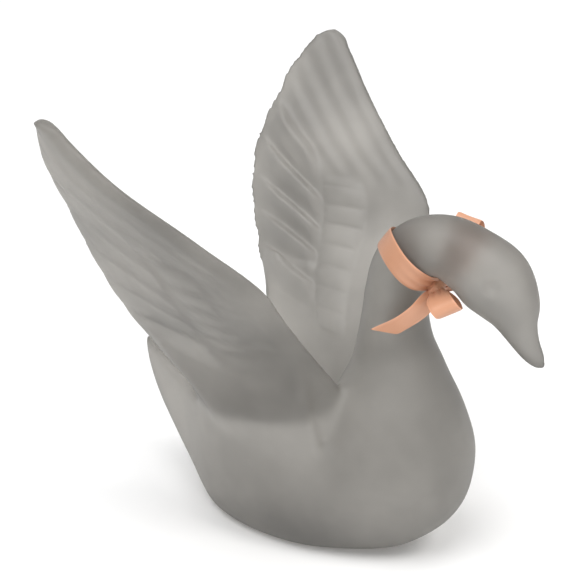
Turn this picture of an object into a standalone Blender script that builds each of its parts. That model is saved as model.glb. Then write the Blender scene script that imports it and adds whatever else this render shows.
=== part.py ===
"""Frosted glass swan with raised wings and a satin ribbon tied round its neck.

The swan is one pressed piece of glass: a boat-shaped body on a flat underside, a breast that
runs up into an arched neck and a hanging head, and two carved wings held up in a V. The ribbon
is one length of satin: a band round the neck, a knot under the throat, two loops and a tail.

Metres, +Z up. The swan faces -Y and its left wing is at +X. The origin lies on the floor
below the middle of the whole outline.
"""
import bpy
import bmesh
import numpy as np

# Overall sizes of the glass, in metres
HEIGHT = 0.1264
LENGTH = 0.1235
WIDTH = 0.1350

# Sizes of the ribbon, in metres
RIBBON_WIDTH = 0.00635
RIBBON_THICKNESS = 0.0008
RIBBON_GAP = 0.0005
THROAT_GAP = 0.0013
KNOT_LENGTH = 0.0042
KNOT_DEPTH = 0.0040

# The form below is drawn in millimetres on a swan of these sizes, and follows the sizes above
DRAWN_SIZE = (135.0, 123.5, 126.4)
MIDDLE_FORWARD = 0.35

# Body stations: forward, underside height, height of the middle of the back, height of the
# widest line, half width, and how square the bilge is
BODY = (
    (-60.6, 37.0, 43.5, 42.5, 2.2, 2.0),
    (-58.4, 31.0, 42.0, 42.5, 4.4, 2.0),
    (-54.4, 22.5, 39.5, 41.8, 6.8, 2.0),
    (-47.0, 11.8, 36.0, 40.0, 10.2, 2.1),
    (-39.6, 3.2, 34.0, 38.2, 13.2, 2.4),
    (-33.4, -1.2, 33.5, 36.8, 16.8, 2.8),
    (-26.0, -2.4, 34.0, 35.6, 20.8, 3.2),
    (-14.0, -3.0, 35.5, 34.0, 23.8, 3.4),
    (0.0, -3.0, 38.0, 30.5, 24.2, 3.2),
    (12.0, -2.0, 41.0, 27.0, 22.6, 2.6),
    (24.0, 0.4, 42.0, 26.0, 19.6, 2.1),
    (32.0, 5.2, 41.0, 26.5, 16.2, 2.0),
    (37.6, 10.4, 39.2, 27.5, 12.4, 2.0),
    (41.2, 15.8, 35.0, 27.0, 8.6, 2.0),
    (42.8, 20.2, 32.0, 26.5, 5.0, 2.0),
)
CHEST_FRONT = (43.4, 26.5)
TAIL_END = (-61.4, 42.6)
RIM_RISE = 3.0

# Neck, head and beak stations: forward, up, half depth, half width
NECK = (
    (21.6, 24.5, 21.3, 20.4),
    (22.0, 30.0, 21.6, 20.3),
    (21.8, 38.0, 19.5, 18.8),
    (21.5, 46.0, 16.4, 16.3),
    (21.3, 52.5, 13.2, 13.3),
    (20.6, 60.0, 10.3, 10.4),
    (20.4, 67.0, 8.8, 9.0),
    (20.6, 74.0, 8.1, 8.3),
    (22.4, 81.4, 7.9, 8.1),
    (27.0, 86.7, 7.7, 8.1),
    (33.6, 88.3, 7.9, 8.4),
    (41.0, 86.0, 8.6, 8.8),
    (47.8, 81.5, 9.5, 8.8),
    (52.6, 75.6, 7.2, 6.7),
    (55.0, 70.4, 4.4, 4.6),
    (57.2, 66.6, 3.1, 3.4),
    (59.6, 63.6, 2.2, 2.4),
    (61.2, 61.9, 1.2, 1.3),
)
BEAK_TIP = (61.9, 61.2)

# Wing edges: up, forward, left, and half the thickness of the glass at each height
LEADING_EDGE = (
    (24.0, 13.5, 6.0),
    (47.0, 13.0, 12.0),
    (65.0, 10.2, 27.4),
    (78.5, 10.3, 39.8),
    (83.5, 8.6, 42.4),
    (96.2, -5.9, 50.0),
    (110.0, -21.0, 58.9),
    (121.0, -30.6, 64.2),
    (125.2, -34.6, 66.0),
    (126.4, -37.2, 66.2),
)
TRAILING_EDGE = (
    (24.0, -19.0, 15.0),
    (42.0, -27.5, 22.0),
    (58.0, -39.0, 28.0),
    (68.5, -44.1, 32.6),
    (81.7, -48.9, 37.3),
    (95.2, -50.4, 43.2),
    (108.7, -48.3, 51.9),
    (118.0, -45.4, 57.6),
    (122.8, -42.2, 61.0),
    (125.6, -39.8, 64.0),
    (126.4, -37.2, 66.2),
)
WING_HALF_THICKNESS = ((24.0, 5.0), (50.0, 4.0), (70.0, 3.1), (95.0, 2.5), (115.0, 2.2), (126.4, 1.9))
WING_BOW = 1.9
RIGHT_DROOP = 1.5
DROOP_FROM = 94.0
DROOP_TO = 124.0
ROOT_FLARE = 5.0
ROOT_FLARE_RISE = (24.0, 31.0)
ROOT_FLARE_FALL = (34.0, 66.0)
ROOT_FLARE_FULLNESS = 0.4
INNER_EDGE_SHARE = 0.2
OUTER_EDGE_SHARE = 0.1

# Feather rows on the inner face: heights of the row edges at the spine and at the trailing edge
ROW_AT_SPINE = (24.0, 42.0, 51.2, 60.0, 67.0, 73.0, 81.0, 95.0, 113.0, 126.4)
ROW_AT_TRAIL = (24.0, 48.5, 58.3, 68.1, 77.2, 87.1, 98.7, 109.3, 118.5, 126.4)
FIRST_ROW = 2
LAST_ROW = 7
SPINE_SHARE = 0.57
INNER_SPINE_SHARE = 0.34
FEATHER_RELIEF = 1.15
SCALE_RELIEF = 0.75
SCALE_PITCH = 5.1
SCALE_BASE = 49.5
SCALE_TOP = 88.0
SCALE_FADE = (1.0, 3.0)
QUILL_RELIEF = 0.45
QUILL_PITCH = 7.0
QUILL_FADE = 4.0
TRAIL_LOBE = 0.5

# Eyes: a shallow round hollow each side of the head
EYE_FORWARD = 50.6
EYE_UP = 83.0
EYE_LEFT = 10.7
EYE_RADIUS = 3.0

# Where the ribbon sits on the neck, as shares of the neck's length, and how it leans
COLLAR_SHARE = 0.538
COLLAR_LEAN = -0.0185
COLLAR_END = 0.15
COLLAR_PINCH = 0.3
COLLAR_PINCH_POWER = 14

# Middle lines of the ribbon's free stretches: forward, left, up, the way the width points, and
# the share of the full width that is spread out there
KNOT = (32.2, -1.0, 77.0)
KNOT_LIE = (0.68, 0.0, 0.73)
KNOT_TAPER = 0.5
KNOT_BREADTH = 1.25
# Each loop starts and ends in the knot. The near one is drawn in its own frame: how far down the
# loop, how far out from its middle, and the share of the width that is spread out there
NEAR_LOOP_DOWN = (0.702, 0.122, -0.700)
NEAR_LOOP_ACROSS = (0.80, 0.40, 0.44)
NEAR_LOOP = (
    (0.3, -0.4, 0.50),
    (0.6, -3.4, 0.75),
    (1.4, -7.2, 0.95),
    (3.0, -10.4, 1.0),
    (5.0, -11.0, 1.0),
    (6.3, -9.4, 1.0),
    (6.2, -6.8, 1.0),
    (4.8, -4.2, 1.0),
    (3.0, -1.8, 0.80),
    (1.4, 0.2, 0.50),
)
FAR_LOOP = (
    (32.8, 0.6, 78.2, -0.50, 0.0, 0.85, 0.38),
    (33.4, 6.6, 79.4, -0.80, 0.0, 0.55, 0.75),
    (34.2, 9.8, 83.6, -0.96, -0.1, 0.27, 1.0),
    (34.2, 10.2, 88.2, -0.95, -0.2, 0.27, 1.0),
    (34.2, 11.0, 91.2, -0.95, -0.2, 0.27, 1.0),
    (34.2, 12.9, 92.6, -0.95, -0.2, 0.27, 1.0),
    (34.2, 14.8, 91.0, -0.95, -0.2, 0.27, 1.0),
    (34.2, 15.2, 88.0, -0.95, -0.2, 0.27, 1.0),
    (34.0, 13.4, 82.0, -0.96, -0.1, 0.27, 1.0),
    (33.0, 7.6, 76.6, -0.80, 0.0, 0.55, 0.75),
    (32.0, 0.8, 76.4, -0.50, 0.0, 0.85, 0.38),
)
TAIL = (
    (31.6, -1.2, 76.4, -0.50, 0.1, 0.85, 0.42),
    (31.4, -4.4, 74.4, -0.30, -0.2, 0.90, 0.85),
    (29.8, -7.2, 71.9, -0.08, -0.5, 0.86, 1.0),
    (26.8, -9.8, 69.3, 0.0, -0.6, 0.84, 1.0),
    (23.2, -11.4, 67.0, 0.0, -0.6, 0.84, 1.0),
)
TAIL_SLANT = 0.7

# How finely the faces are cut
BODY_SIDES = 28
BODY_STEPS = 2
NECK_SIDES = 24
NECK_RINGS = 40
WING_INNER_STEPS = 22
WING_OUTER_STEPS = 8
ROW_STEPS = 4
COLLAR_STEPS = 32
STRAP_STEPS = 4


def remove_everything():
    for old in list(bpy.data.objects):
        bpy.data.objects.remove(old, do_unlink=True)


def place(forward, left, up):
    """Turn a drawn place in millimetres into metres in the part's frame."""
    forward, left, up = np.broadcast_arrays(forward, left, up)
    drawn_width, drawn_length, drawn_height = DRAWN_SIZE
    return np.stack([
        left * WIDTH / drawn_width,
        (MIDDLE_FORWARD - forward) * LENGTH / drawn_length,
        up * HEIGHT / drawn_height,
    ], axis=-1)


def direction(forward, left, up):
    """Turn a drawn direction into one in the part's frame."""
    return place(forward, left, up) - place(0.0, 0.0, 0.0)


def smooth_through(knots, values, at):
    """Cubic curve through the values, with each slope taken from the two neighbours."""
    knots = np.asarray(knots, float)
    values = np.asarray(values, float)
    at = np.clip(np.asarray(at, float), knots[0], knots[-1])
    slopes = np.gradient(values, knots, axis=0)
    cell = np.clip(np.searchsorted(knots, at, side="right") - 1, 0, len(knots) - 2)
    step = knots[cell + 1] - knots[cell]
    share = (at - knots[cell]) / step
    if values.ndim > 1:
        share = share[..., None]
        step = step[..., None]
    rise = share * share * (3.0 - 2.0 * share)
    start = share * (1.0 - share) ** 2 * step
    end = -share * share * (1.0 - share) * step
    return (values[cell] * (1.0 - rise) + values[cell + 1] * rise
            + slopes[cell] * start + slopes[cell + 1] * end)


def ramp(low, high, value):
    """Rise smoothly from 0 to 1 between two values."""
    share = np.clip((value - low) / (high - low), 0.0, 1.0)
    return share * share * (3.0 - 2.0 * share)


def signed_power(value, power):
    return np.sign(value) * np.abs(value) ** power


def loft(name, rings, first_pole=None, last_pole=None):
    """Closed mesh of equal rings, each end closed by a point or by a flat cap."""
    ring_count, side_count = rings.shape[:2]
    points = [tuple(p) for p in rings.reshape(-1, 3)]
    faces = []
    for ring in range(ring_count - 1):
        for side in range(side_count):
            after = (side + 1) % side_count
            low = ring * side_count
            high = low + side_count
            faces.append((low + side, low + after, high + after, high + side))
    ends = ((first_pole, 0), (last_pole, (ring_count - 1) * side_count))
    for pole, start in ends:
        if pole is None:
            faces.append(tuple(range(start, start + side_count)))
            continue
        points.append(tuple(pole))
        for side in range(side_count):
            faces.append((start + side, start + (side + 1) % side_count, len(points) - 1))
    mesh = bpy.data.meshes.new(name)
    mesh.from_pydata(points, [], faces)
    face_outwards(mesh)
    made = bpy.data.objects.new(name, mesh)
    bpy.context.scene.collection.objects.link(made)
    return made


def face_outwards(mesh):
    shape = bmesh.new()
    shape.from_mesh(mesh)
    bmesh.ops.remove_doubles(shape, verts=shape.verts, dist=0.00001)
    bmesh.ops.recalc_face_normals(shape, faces=shape.faces)
    shape.to_mesh(mesh)
    shape.free()


def shade_round(made, crease_degrees):
    made.data.shade_smooth()
    made.data.set_sharp_from_angle(angle=np.radians(crease_degrees))


def join_to(base, operand, operation="UNION"):
    """Fuse or cut with a Boolean, keeping the operand as a hidden guide."""
    cut = base.modifiers.new(operand.name, "BOOLEAN")
    cut.operation = operation
    cut.solver = "EXACT"
    cut.object = operand
    operand.hide_render = True
    operand.display_type = "WIRE"


def body_rings():
    """Body sections: a squarish bilge, and above the widest line a round back or a dish.

    The back rises from the rim with the sine of the turn; where the middle of the back is lower
    than a round rim, the cube of the sine takes it down into a dish between the wings.
    """
    table = np.array(BODY)
    count = BODY_STEPS * (len(BODY) - 1) + 1
    at = np.linspace(0.0, len(BODY) - 1.0, count)
    rows = smooth_through(np.arange(len(BODY)), table, at)
    forward, under, top, widest, half_width, bilge = (rows[:, column, None] for column in range(6))
    angle = np.linspace(0.0, 2.0 * np.pi, BODY_SIDES, endpoint=False)[None, :]
    across = np.cos(angle)
    along = np.sin(angle)
    squareness = np.where(along < 0.0, bilge, 2.0)
    left = half_width * signed_power(across, 2.0 / squareness)
    low = widest + (widest - under) * signed_power(along, 2.0 / squareness)
    rise = np.maximum(top - widest, RIM_RISE)
    high = widest + rise * along + (top - widest - rise) * along ** 3
    return place(forward, left, np.maximum(np.where(along < 0.0, low, high), 0.0))


def make_body():
    tail = place(TAIL_END[0], 0.0, TAIL_END[1])
    chest = place(CHEST_FRONT[0], 0.0, CHEST_FRONT[1])
    return loft("swan", body_rings(), tail, chest)


def neck_point(share, angle):
    """Point of the neck and head skin: share 0 to 1 from breast to beak, angle 0 at the crown."""
    table = np.array(NECK)
    steps = np.linalg.norm(np.diff(table[:, :2], axis=0), axis=1)
    knots = np.concatenate([[0.0], np.cumsum(steps)])
    at = np.asarray(share, float) * knots[-1]
    row = smooth_through(knots, table, at)
    ahead = smooth_through(knots, table, at + 0.05)
    behind = smooth_through(knots, table, at - 0.05)
    path = ahead[..., :2] - behind[..., :2]
    path = path / np.linalg.norm(path, axis=-1, keepdims=True)
    depth = row[..., 2] * np.cos(angle)
    width = row[..., 3] * np.sin(angle)
    forward = row[..., 0] - path[..., 1] * depth
    up = row[..., 1] + path[..., 0] * depth
    return place(forward, width, up)


def neck_outside(share, angle, height):
    """Point at a height in metres above the skin of the neck."""
    step = 0.002
    along = neck_point(share + step, angle) - neck_point(share - step, angle)
    around = neck_point(share, angle + step) - neck_point(share, angle - step)
    normal = np.cross(along, around)
    normal = normal / np.linalg.norm(normal, axis=-1, keepdims=True)
    return neck_point(share, angle) + normal * np.asarray(height)[..., None]


def make_neck():
    share = np.linspace(0.0, 1.0, NECK_RINGS)[:, None]
    angle = np.linspace(0.0, 2.0 * np.pi, NECK_SIDES, endpoint=False)[None, :]
    share, angle = np.broadcast_arrays(share, angle)
    tip = place(BEAK_TIP[0], 0.0, BEAK_TIP[1])
    return loft("neck", neck_point(share, angle), None, tip)


def wing_row_height(row, share):
    """Height of a feather row: level as far as the spine, then rising to the trailing edge."""
    rows = np.arange(len(ROW_AT_SPINE))
    at_spine = smooth_through(rows, ROW_AT_SPINE, row)
    at_trail = smooth_through(rows, ROW_AT_TRAIL, row)
    reach = np.clip((share - SPINE_SHARE) / (1.0 - SPINE_SHARE), 0.0, 1.0)
    return at_spine + (at_trail - at_spine) * reach


def wing_relief(row, share, height, chord):
    """Height of the carving on the inner face, in drawn millimetres."""
    part = row - np.floor(row)
    lap = ramp(0.0, 0.75, part) * (1.0 - ramp(0.8, 1.0, part))
    in_rows = ramp(FIRST_ROW - 0.1, FIRST_ROW + 0.2, row) * (1.0 - ramp(LAST_ROW - 0.3, LAST_ROW, row))
    outer = ramp(SPINE_SHARE, SPINE_SHARE + 0.07, share) * (1.0 - ramp(0.93, 1.0, share))
    feathers = FEATHER_RELIEF * lap * outer * in_rows
    turn = (height - SCALE_BASE) / SCALE_PITCH
    round_top = np.sqrt(np.clip(1.0 - (2.0 * (turn - np.floor(turn)) - 1.0) ** 2, 0.0, 1.0))
    middle = np.clip((share - INNER_SPINE_SHARE) / (SPINE_SHARE - INNER_SPINE_SHARE), 0.0, 1.0)
    band = np.sin(np.pi * middle) ** 0.6
    scaled = ramp(SCALE_BASE - SCALE_FADE[0], SCALE_BASE + SCALE_FADE[0], height)
    scaled = scaled * (1.0 - ramp(SCALE_TOP - SCALE_FADE[1], SCALE_TOP, height))
    scales = SCALE_RELIEF * band * scaled * (0.45 + 0.55 * round_top)
    ridge = 0.5 - 0.5 * np.cos(2.0 * np.pi * share * chord / QUILL_PITCH)
    high = ramp(SCALE_TOP - QUILL_FADE, SCALE_TOP + QUILL_FADE, height) * (1.0 - ramp(0.8, 0.98, share))
    quills = QUILL_RELIEF * ridge * high * ramp(0.0, 0.12, share)
    return feathers + scales + quills


def wing_point(row, share, inner, side):
    """Point of a wing's skin: row from root to tip, share from leading to trailing edge."""
    height = wing_row_height(row, share)
    lead = np.array(LEADING_EDGE)
    trail = np.array(TRAILING_EDGE)
    thick = np.array(WING_HALF_THICKNESS)
    front = smooth_through(lead[:, 0], lead[:, 1:], height)
    back = smooth_through(trail[:, 0], trail[:, 1:], height)
    part = row - np.floor(row)
    lobe = TRAIL_LOBE * np.sin(np.pi * part) * ramp(0.8, 1.0, share) * ramp(FIRST_ROW - 1.0, FIRST_ROW, row)
    chord = back - front
    length = np.linalg.norm(chord, axis=-1)
    unit = chord / np.maximum(length, 0.001)[..., None]
    out = np.stack([unit[..., 1], -unit[..., 0]], axis=-1)
    half = smooth_through(thick[:, 0], thick[:, 1], height)
    half = np.minimum(half, 0.42 * length)
    edge = np.where(inner, INNER_EDGE_SHARE, OUTER_EDGE_SHARE)
    rounding = np.sqrt(np.clip(share * (1.0 - share) / edge, 0.0, 1.0))
    taper = 1.0 - 0.45 * ramp(0.35, 1.0, share)
    bow = WING_BOW * 4.0 * share * (1.0 - share) * np.minimum(1.0, length / 30.0)
    flare = ROOT_FLARE * ramp(*ROOT_FLARE_RISE, height) * (1.0 - ramp(*ROOT_FLARE_FALL, height))
    flare = flare * np.clip(np.sin(np.pi * share), 0.0, 1.0) ** ROOT_FLARE_FULLNESS
    relief = wing_relief(row, share, height, length)
    offset = bow + np.where(inner, -half * rounding * taper - relief, half * rounding * taper + flare)
    spot = front + chord * share[..., None] + out * offset[..., None] + unit * lobe[..., None]
    droop = RIGHT_DROOP * ramp(DROOP_FROM, DROOP_TO, height) * (side < 0.0)
    return place(spot[..., 0], spot[..., 1] * side, height - droop)


def make_wing(name, side):
    last = len(ROW_AT_SPINE) - 1.0
    low_rows = np.arange(0.0, LAST_ROW, 1.0 / ROW_STEPS)
    high_rows = last - (last - LAST_ROW) * np.linspace(1.0, 0.0, 11)[:-1] ** 1.6
    rows = np.concatenate([low_rows, high_rows])
    outward = np.linspace(0.0, 1.0, WING_OUTER_STEPS + 1)
    outward = 0.5 - 0.5 * np.cos(np.pi * outward)
    inward = np.linspace(1.0, 0.0, WING_INNER_STEPS + 1)
    share = np.concatenate([outward, inward[1:-1]])
    inner = np.concatenate([np.zeros(len(outward), bool), np.ones(len(inward) - 2, bool)])
    row, share = np.meshgrid(rows, share, indexing="ij")
    inner = np.broadcast_to(inner, row.shape)
    skin = wing_point(row, share, inner, side)
    tip = wing_point(np.array(last), np.array(0.5), np.array(False), side)
    return loft(name, skin, None, tip)


def make_eye_cutter(name, side):
    ball = bmesh.new()
    bmesh.ops.create_icosphere(ball, subdivisions=2, radius=EYE_RADIUS * HEIGHT / DRAWN_SIZE[2])
    centre = place(EYE_FORWARD, EYE_LEFT * side, EYE_UP)
    bmesh.ops.translate(ball, verts=ball.verts, vec=tuple(centre))
    mesh = bpy.data.meshes.new(name)
    ball.to_mesh(mesh)
    ball.free()
    made = bpy.data.objects.new(name, mesh)
    bpy.context.scene.collection.objects.link(made)
    return made


def glass():
    material = bpy.data.materials.new("frosted glass")
    material.use_nodes = True
    shader = material.node_tree.nodes["Principled BSDF"]
    shader.inputs["Base Color"].default_value = (0.62, 0.61, 0.58, 1.0)
    shader.inputs["Roughness"].default_value = 0.45
    shader.inputs["Metallic"].default_value = 0.0
    shader.inputs["Transmission Weight"].default_value = 0.9
    return material


def satin():
    material = bpy.data.materials.new("peach satin")
    material.use_nodes = True
    shader = material.node_tree.nodes["Principled BSDF"]
    shader.inputs["Base Color"].default_value = (0.80, 0.48, 0.32, 1.0)
    shader.inputs["Roughness"].default_value = 0.4
    shader.inputs["Metallic"].default_value = 0.0
    return material


def make_swan():
    swan = make_body()
    join_to(swan, make_neck())
    join_to(swan, make_wing("left wing", 1.0))
    join_to(swan, make_wing("right wing", -1.0))
    join_to(swan, make_eye_cutter("left eye", 1.0), "DIFFERENCE")
    join_to(swan, make_eye_cutter("right eye", -1.0), "DIFFERENCE")
    shade_round(swan, 35.0)
    swan.data.materials.append(glass())
    return swan


def unit(vectors):
    return vectors / np.linalg.norm(vectors, axis=-1, keepdims=True)


def near_loop_route():
    """The near loop's table turned into drawn points, width directions and spread."""
    table = np.array(NEAR_LOOP)
    down = unit(np.array(NEAR_LOOP_DOWN))
    across = unit(np.array(NEAR_LOOP_ACROSS))
    out = np.cross(across, down)
    middle = np.array(KNOT) + table[:, :1] * down + table[:, 1:2] * out
    return np.concatenate([middle, np.tile(across, (len(table), 1)), table[:, 2:]], axis=1)


def strap(name, route, slant=0.0):
    """Flat ribbon along a route of drawn points, each with the way its width points."""
    at = np.linspace(0.0, len(route) - 1.0, (len(route) - 1) * STRAP_STEPS + 1)
    drawn = smooth_through(np.arange(len(route)), route, at)
    centre = place(drawn[:, 0], drawn[:, 1], drawn[:, 2])
    across = direction(drawn[:, 3], drawn[:, 4], drawn[:, 5])
    along = unit(np.gradient(centre, axis=0))
    across = unit(across - along * np.sum(across * along, axis=-1, keepdims=True))
    half_thick = np.cross(along, across) * RIBBON_THICKNESS / 2.0
    cut = np.zeros((len(centre), 1))
    cut[-STRAP_STEPS:] = slant * np.linspace(1.0 / STRAP_STEPS, 1.0, STRAP_STEPS)[:, None]
    high = (across + along * cut) * drawn[:, 6:] * RIBBON_WIDTH / 2.0
    ring = np.stack([
        centre + high + half_thick,
        centre - high + half_thick,
        centre - high - half_thick,
        centre + high - half_thick,
    ], axis=1)
    return loft(name, ring)


def throat_share(angle):
    """1 at the throat, falling smoothly to 0 at the nape."""
    return 0.5 - 0.5 * np.cos(angle)


def collar_ring(angle, across, height):
    """Points of the band: straight across its width, gathered towards the knot."""
    share = COLLAR_SHARE + COLLAR_LEAN * np.sin(angle)
    side = np.pi / 2.0
    along = unit(neck_point(COLLAR_SHARE + 0.02, side) - neck_point(COLLAR_SHARE - 0.02, side))
    width = RIBBON_WIDTH * (1.0 - COLLAR_PINCH * throat_share(angle) ** COLLAR_PINCH_POWER)
    return neck_outside(share, angle, height) + along * across * width[..., None]


def make_collar():
    """Band round the neck, whose two ends meet inside the knot."""
    angle = np.linspace(COLLAR_END, 2.0 * np.pi - COLLAR_END, COLLAR_STEPS + 1) - np.pi
    inner = RIBBON_GAP + (THROAT_GAP - RIBBON_GAP) * throat_share(angle)
    outer = inner + RIBBON_THICKNESS
    ring = np.stack([
        collar_ring(angle, -0.5, inner),
        collar_ring(angle, 0.5, inner),
        collar_ring(angle, 0.5, outer),
        collar_ring(angle, -0.5, outer),
    ], axis=1)
    return loft("ribbon", ring)


def make_knot():
    """A pinched roll across the band at the throat, thinner at its ends."""
    middle = place(*KNOT)
    lie = unit(direction(*KNOT_LIE))
    left = np.array([1.0, 0.0, 0.0])
    out = np.cross(left, lie)
    around = np.linspace(0.0, 2.0 * np.pi, 10, endpoint=False)[None, :]
    along = np.linspace(-1.0, 1.0, 5)[:, None]
    swell = KNOT_DEPTH / 2.0 * (1.0 - KNOT_TAPER * along ** 2)
    reach = swell * np.cos(around)
    side = KNOT_BREADTH * swell * np.sin(around)
    length = np.broadcast_to(along * KNOT_LENGTH / 2.0, reach.shape)
    rings = middle + out * reach[..., None] + left * side[..., None] + lie * length[..., None]
    return loft("knot", rings)


def make_ribbon():
    ribbon = make_collar()
    join_to(ribbon, make_knot())
    join_to(ribbon, strap("near loop", near_loop_route()))
    join_to(ribbon, strap("far loop", FAR_LOOP))
    join_to(ribbon, strap("tail", TAIL, TAIL_SLANT))
    shade_round(ribbon, 50.0)
    ribbon.data.materials.append(satin())
    return ribbon


def main():
    remove_everything()
    make_swan()
    make_ribbon()


main()
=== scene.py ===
"""Frosted glass swan with raised wings and a satin ribbon tied round its neck.

The glass is drawn as body, neck and wings, fused into one skin, softened where they meet and then
carved. The ribbon is a band, a knot, two loops and a tail of thin satin.

Metres, +Z up. The swan faces -Y and its left wing is at +X.
"""

import bpy
import numpy as np
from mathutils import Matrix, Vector


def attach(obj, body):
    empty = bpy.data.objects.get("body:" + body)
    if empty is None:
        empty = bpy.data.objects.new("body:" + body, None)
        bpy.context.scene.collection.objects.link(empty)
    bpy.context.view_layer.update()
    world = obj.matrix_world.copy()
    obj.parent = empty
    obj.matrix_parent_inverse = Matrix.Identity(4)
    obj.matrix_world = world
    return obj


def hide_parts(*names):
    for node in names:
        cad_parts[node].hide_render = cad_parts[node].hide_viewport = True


bl_info = {
    "name": "Frosted glass swan",
    "version": (1, 0, 0),
    "blender": (4, 5, 0),
    "location": "View3D > Sidebar > Swan",
    "description": "Builds a carved frosted glass swan with a satin ribbon",
    "category": "Add Mesh",
}

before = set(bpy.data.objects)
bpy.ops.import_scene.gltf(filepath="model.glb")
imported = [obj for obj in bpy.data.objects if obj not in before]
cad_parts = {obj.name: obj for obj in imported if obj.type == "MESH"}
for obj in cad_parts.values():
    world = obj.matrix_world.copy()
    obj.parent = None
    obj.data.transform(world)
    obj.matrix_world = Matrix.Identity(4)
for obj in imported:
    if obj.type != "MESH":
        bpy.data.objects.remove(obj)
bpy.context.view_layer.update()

# The form is drawn in millimetres: forward from the drawing's own zero, left, and up
IN_METRES = 0.001
IN_MILLIMETRES = 1000.0
MIDDLE_FORWARD = 0.35

# Body stations: forward, underside height, height of the middle of the back, height of the
# widest line, half width, and how square the bilge is
BODY = (
    (-60.6, 37.0, 43.5, 42.5, 2.2, 2.0),
    (-58.4, 31.0, 42.0, 42.5, 4.4, 2.0),
    (-54.4, 22.5, 39.5, 41.8, 6.8, 2.0),
    (-47.0, 11.8, 36.0, 40.0, 10.2, 2.1),
    (-39.6, 3.2, 34.0, 38.2, 13.2, 2.4),
    (-33.4, -1.2, 33.5, 36.8, 16.8, 2.8),
    (-26.0, -2.4, 34.0, 35.6, 20.8, 3.2),
    (-14.0, -3.0, 35.5, 34.0, 23.8, 3.4),
    (0.0, -3.0, 38.0, 30.5, 24.2, 3.2),
    (12.0, -2.0, 41.0, 27.0, 22.6, 2.6),
    (24.0, 0.4, 42.0, 26.0, 19.6, 2.1),
    (32.0, 5.2, 41.0, 26.5, 16.2, 2.0),
    (37.6, 10.4, 39.2, 27.5, 12.4, 2.0),
    (41.2, 15.8, 35.0, 27.0, 8.6, 2.0),
    (42.8, 20.2, 32.0, 26.5, 5.0, 2.0),
)
CHEST_FRONT = (43.4, 26.5)
TAIL_END = (-61.4, 42.6)
RIM_RISE = 3.0

# Neck, head and beak stations: forward, up, half depth, half width
NECK = (
    (21.6, 24.5, 21.3, 20.4),
    (22.0, 30.0, 21.6, 20.3),
    (21.8, 38.0, 19.5, 18.8),
    (21.5, 46.0, 16.4, 16.3),
    (21.3, 52.5, 13.2, 13.3),
    (20.6, 60.0, 10.3, 10.4),
    (20.4, 67.0, 8.8, 9.0),
    (20.6, 74.0, 8.1, 8.3),
    (22.4, 81.4, 7.9, 8.1),
    (27.0, 86.7, 7.7, 8.1),
    (33.6, 88.3, 7.9, 8.4),
    (41.0, 86.0, 8.6, 8.8),
    (47.8, 81.5, 9.5, 8.8),
    (52.6, 75.6, 7.2, 6.7),
    (55.0, 70.4, 4.4, 4.6),
    (57.2, 66.6, 3.1, 3.4),
    (59.6, 63.6, 2.2, 2.4),
    (61.2, 61.9, 1.2, 1.3),
)
BEAK_TIP = (61.9, 61.2)

# Wing edges: up, forward, left, and half the thickness of the glass at each height
LEADING_EDGE = (
    (24.0, 13.5, 6.0),
    (47.0, 13.0, 12.0),
    (65.0, 10.2, 27.4),
    (78.5, 10.3, 39.8),
    (83.5, 8.6, 42.4),
    (96.2, -5.9, 50.0),
    (110.0, -21.0, 58.9),
    (121.0, -30.6, 64.2),
    (125.2, -34.6, 66.0),
    (126.4, -37.2, 66.2),
)
TRAILING_EDGE = (
    (24.0, -19.0, 15.0),
    (42.0, -27.5, 22.0),
    (58.0, -39.0, 28.0),
    (68.5, -44.1, 32.6),
    (81.7, -48.9, 37.3),
    (95.2, -50.4, 43.2),
    (108.7, -48.3, 51.9),
    (118.0, -45.4, 57.6),
    (122.8, -42.2, 61.0),
    (125.6, -39.8, 64.0),
    (126.4, -37.2, 66.2),
)
WING_HALF_THICKNESS = (
    (24.0, 5.0),
    (50.0, 4.0),
    (70.0, 3.1),
    (95.0, 2.5),
    (115.0, 2.2),
    (126.4, 1.9),
)
HEIGHT_AT_TIP = LEADING_EDGE[-1][0]
TIP_CROWDING = 1.35

# A wing section: half the glass's thickness takes no more than a share of the chord, thins to the
# trailing edge and rounds at both edges. The bow is full where the chord is long enough
SHORTEST_CHORD = 0.001
MOST_OF_CHORD = 0.42
TRAIL_THINNING = 0.45
THINNING_FROM = 0.35
INNER_EDGE_SHARE = 0.2
OUTER_EDGE_SHARE = 0.1
WING_BOW = 1.9
FULL_BOW_CHORD = 30.0

# The right wing's tip hangs a little below the left one's, growing between these heights
RIGHT_DROOP = 1.5
DROOP_FROM = 94.0
DROOP_TO = 124.0

# The flare of the outer face at the wing's root: how far out, its heights and its fullness
ROOT_FLARE = 5.0
ROOT_FLARE_RISE = (24.0, 31.0)
ROOT_FLARE_FALL = (34.0, 66.0)
ROOT_FLARE_FULLNESS = 0.4

# The fill between hull and wing: its span of the chord, the height whose chord its foot follows,
# its top, how far the foot sweeps aft with the wing, the power of its lean, and its depth
FLANK_SPAN = (0.05, 0.95)
FLANK_ROOT = 38.0
FLANK_TOP = 64.0
FLANK_AFT = 0.5
FLANK_LEAN = 1.4
FLANK_DEPTH = 7.0

# Feather rows on the inner face: heights of the row edges at the spine and at the trailing edge
ROW_AT_SPINE = (24.0, 42.0, 51.2, 60.0, 67.0, 73.0, 81.0, 95.0, 113.0, 126.4)
ROW_AT_TRAIL = (24.0, 48.5, 58.3, 68.1, 77.2, 87.1, 98.7, 109.3, 118.5, 126.4)
FIRST_ROW = 2
LAST_ROW = 7
SPINE_SHARE = 0.57
INNER_SPINE_SHARE = 0.34
TRAIL_LOBE = 0.5
TRAIL_LOBE_FROM = 0.8
HALVINGS = 22

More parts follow.
